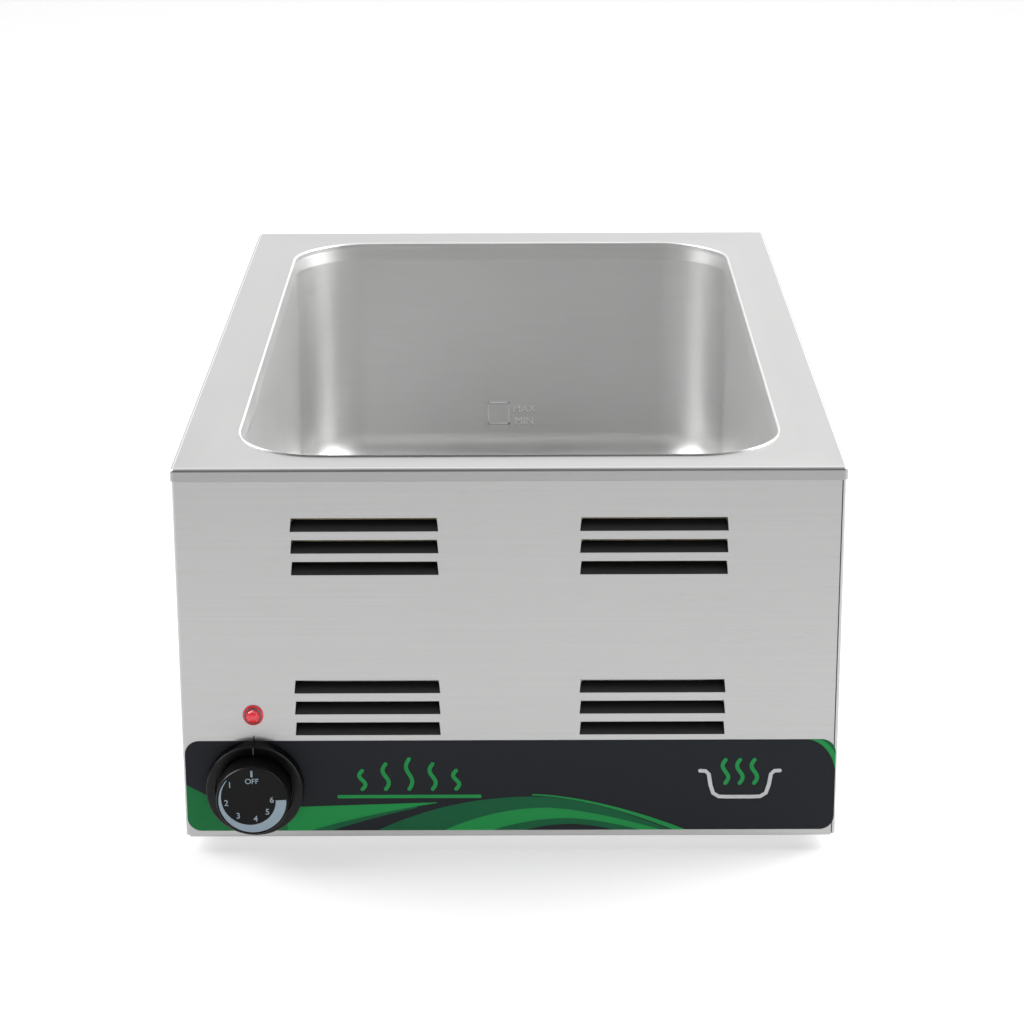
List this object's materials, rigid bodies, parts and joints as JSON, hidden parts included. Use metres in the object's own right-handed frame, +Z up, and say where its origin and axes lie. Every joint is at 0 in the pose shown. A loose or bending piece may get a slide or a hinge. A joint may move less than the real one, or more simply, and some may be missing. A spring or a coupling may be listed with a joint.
{
  "type": "countertop food warmer",
  "caption": "Countertop electric food warmer: a stainless box with one full-size drawn water well, louvred front panel, pilot lamp and a rotary thermostat knob.",
  "frame": {"origin": "on the plane the feet rest on, at the middle of the whole object seen from above (midway between the knob face at the front and the cord gland tip at the rear)", "axes": "+Z up, control panel faces -Y, +X to the right as seen by someone facing the control panel"},
  "size_m": [0.3632, 0.6054, 0.2234],
  "materials": {
    "stainless": "satin",
    "base_steel": "galvanised, matte",
    "rubber": "matte",
    "zinc_steel": "zinc plated",
    "decal_film": "satin printed film, charcoal with green waves",
    "knob_black": "moulded, semi-gloss",
    "spindle_steel": "turned",
    "chrome_ring": "polished",
    "lamp_red": "translucent red, polished",
    "lamp_holder": "moulded",
    "thermostat_case": "moulded",
    "element_sheath": "annealed, heat tinted",
    "ceramic": "steatite ceramic, glazed",
    "tray_aluminium": "mill",
    "mineral_wool": "loose fibre",
    "copper": "drawn copper",
    "cutout_case": "phenolic with a steel cap",
    "gland_nylon": "moulded nylon",
    "wire_brown": "silicone sleeve",
    "wire_blue": "silicone sleeve",
    "wire_earth": "silicone sleeve"
  },
  "bodies": {
    "housing": {"base_plate": "base_steel", "base_screws": "zinc_steel", "bulb_clips": "zinc_steel", "capillary_tube": "copper", "cord_gland": "gland_nylon", "cutout_tabs": "zinc_steel", "deck_nuts": "zinc_steel", "deck_weld_studs": "zinc_steel", "earth_nut": "zinc_steel", "earth_stud": "zinc_steel", "element_beads": "ceramic", "element_pins": "zinc_steel", "foot_nuts": "zinc_steel", "foot_screws": "zinc_steel", "front_decal": "decal_film", "front_left_sheet": "stainless", "gland_locknut": "gland_nylon", "gland_seal": "rubber", "heat_tray": "tray_aluminium", "heating_element": "element_sheath", "high_limit_cutout": "cutout_case", "insulation_blanket": "mineral_wool", "insulation_mat": "mineral_wool", "knob_bezel": "knob_black", "pilot_body": "lamp_holder", "pilot_clip": "zinc_steel", "pilot_lens": "lamp_red", "pilot_ring": "chrome_ring", "pilot_tabs": "zinc_steel", "rear_right_sheet": "stainless", "rubber_feet": "rubber", "sensing_bulb": "copper", "terminal_block": "ceramic", "terminal_screws": "zinc_steel", "thermostat_body": "thermostat_case", "thermostat_screws": "zinc_steel", "thermostat_tabs": "zinc_steel", "top_deck": "stainless", "tray_nuts": "zinc_steel", "water_well": "stainless", "well_floor_studs": "zinc_steel", "wire_earth": "wire_earth", "wire_lamp_live": "wire_brown", "wire_lamp_neutral": "wire_blue", "wire_limited": "wire_brown", "wire_live": "wire_brown", "wire_neutral": "wire_blue", "wire_switched": "wire_brown"},
    "knob": {"thermostat_knob": "knob_black", "knob_spring_sleeve": "zinc_steel", "thermostat_spindle": "spindle_steel"}
  },
  "joints": [
    {"name": "knob_turn", "type": "hinge", "parent": "housing", "child": "knob", "pos_m": [-0.1412, -0.2817, 0.0391], "axis": [0, 1, 0], "range_deg": [0, 270]}
  ]
}
